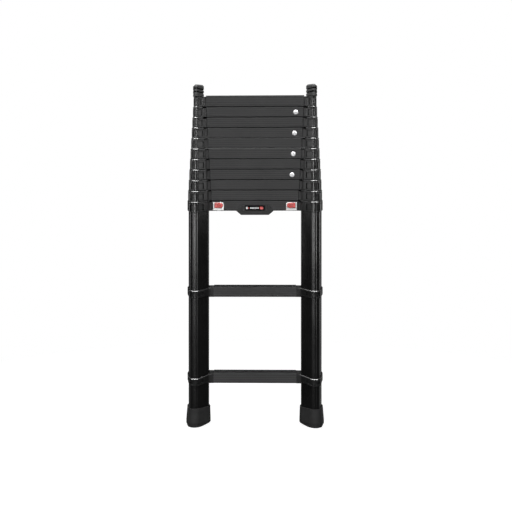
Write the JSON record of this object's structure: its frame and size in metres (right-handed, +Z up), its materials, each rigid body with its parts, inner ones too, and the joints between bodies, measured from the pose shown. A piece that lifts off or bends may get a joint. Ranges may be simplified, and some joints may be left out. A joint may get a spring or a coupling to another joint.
{
  "type": "telescoping ladder",
  "caption": "Telescoping ladder, stored closed: nested three-cornered stiles, hollow steps, collars with lock pins, thumb release sliders, rubber feet and caps.",
  "frame": {"origin": "centre of the footprint, on the ground between the two rubber feet", "axes": "+Z up along the stiles, +X to the climber's right, -Y towards the climber"},
  "size_m": [0.4832, 0.0866, 1.1847],
  "materials": {
    "stile_anodised": "black anodised, satin",
    "step_anodised": "dark grey anodised, matt",
    "collar_plastic": "moulded, fine grain",
    "black_rubber": "matt",
    "bezel_white": "semi gloss",
    "release_red": "semi gloss",
    "pin_steel": "turned",
    "rivet_steel": "bright",
    "plate_black": "gloss"
  },
  "bodies": {
    "base": {"base_stile_tubes": "stile_anodised", "rubber_feet": "black_rubber", "fixed_step_1": "step_anodised", "fixed_step_2": "step_anodised", "fixed_step_rings_1": "collar_plastic", "fixed_step_rings_2": "collar_plastic", "latch_step": "step_anodised", "latch_collars": "collar_plastic", "release_bezels": "bezel_white", "name_plate_holder": "collar_plastic", "name_plate": "plate_black"},
    "release_left": {"release_button_left": "release_red", "latch_pin_left": "pin_steel"},
    "release_right": {"release_button_right": "release_red", "latch_pin_right": "pin_steel"},
    "section_1": {"stile_tubes_1": "stile_anodised", "collars_1": "collar_plastic", "step_1": "step_anodised", "lock_pins_1": "pin_steel"},
    "section_2": {"stile_tubes_2": "stile_anodised", "collars_2": "collar_plastic", "step_2": "step_anodised", "lock_pins_2": "pin_steel"},
    "section_3": {"stile_tubes_3": "stile_anodised", "collars_3": "collar_plastic", "step_3": "step_anodised", "lock_pins_3": "pin_steel", "rivet_3": "rivet_steel"},
    "section_4": {"stile_tubes_4": "stile_anodised", "collars_4": "collar_plastic", "step_4": "step_anodised", "lock_pins_4": "pin_steel"},
    "section_5": {"stile_tubes_5": "stile_anodised", "collars_5": "collar_plastic", "step_5": "step_anodised", "lock_pins_5": "pin_steel", "rivet_5": "rivet_steel"},
    "section_6": {"stile_tubes_6": "stile_anodised", "collars_6": "collar_plastic", "step_6": "step_anodised", "lock_pins_6": "pin_steel"},
    "section_7": {"stile_tubes_7": "stile_anodised", "collars_7": "collar_plastic", "step_7": "step_anodised", "lock_pins_7": "pin_steel", "rivet_7": "rivet_steel"},
    "section_8": {"stile_tubes_8": "stile_anodised", "collars_8": "collar_plastic", "step_8": "step_anodised", "lock_pins_8": "pin_steel"},
    "section_9": {"stile_tubes_9": "stile_anodised", "collars_9": "collar_plastic", "step_9": "step_anodised", "lock_pins_9": "pin_steel", "rivet_9": "rivet_steel"},
    "section_10": {"stile_tubes_10": "stile_anodised", "collars_10": "collar_plastic", "step_10": "step_anodised", "end_caps": "black_rubber"}
  },
  "joints": [
    {"name": "release_left_slide", "type": "slide", "parent": "base", "child": "release_left", "axis": [1, 0, 0], "range_m": [0, 0.006], "stiffness_N_per_m": 400, "springref_m": -0.004},
    {"name": "release_right_slide", "type": "slide", "parent": "base", "child": "release_right", "axis": [-1, 0, 0], "range_m": [0, 0.006], "stiffness_N_per_m": 400, "springref_m": -0.004},
    {"name": "section_1_slide", "type": "slide", "parent": "base", "child": "section_1", "axis": [0, 0, 1], "range_m": [0, 0.2637]},
    {"name": "section_2_slide", "type": "slide", "parent": "section_1", "child": "section_2", "axis": [0, 0, 1], "range_m": [0, 0.2637]},
    {"name": "section_3_slide", "type": "slide", "parent": "section_2", "child": "section_3", "axis": [0, 0, 1], "range_m": [0, 0.2637]},
    {"name": "section_4_slide", "type": "slide", "parent": "section_3", "child": "section_4", "axis": [0, 0, 1], "range_m": [0, 0.2637]},
    {"name": "section_5_slide", "type": "slide", "parent": "section_4", "child": "section_5", "axis": [0, 0, 1], "range_m": [0, 0.2637]},
    {"name": "section_6_slide", "type": "slide", "parent": "section_5", "child": "section_6", "axis": [0, 0, 1], "range_m": [0, 0.2637]},
    {"name": "section_7_slide", "type": "slide", "parent": "section_6", "child": "section_7", "axis": [0, 0, 1], "range_m": [0, 0.2637]},
    {"name": "section_8_slide", "type": "slide", "parent": "section_7", "child": "section_8", "axis": [0, 0, 1], "range_m": [0, 0.2637]},
    {"name": "section_9_slide", "type": "slide", "parent": "section_8", "child": "section_9", "axis": [0, 0, 1], "range_m": [0, 0.2637]},
    {"name": "section_10_slide", "type": "slide", "parent": "section_9", "child": "section_10", "axis": [0, 0, 1], "range_m": [0, 0.2637]}
  ]
}
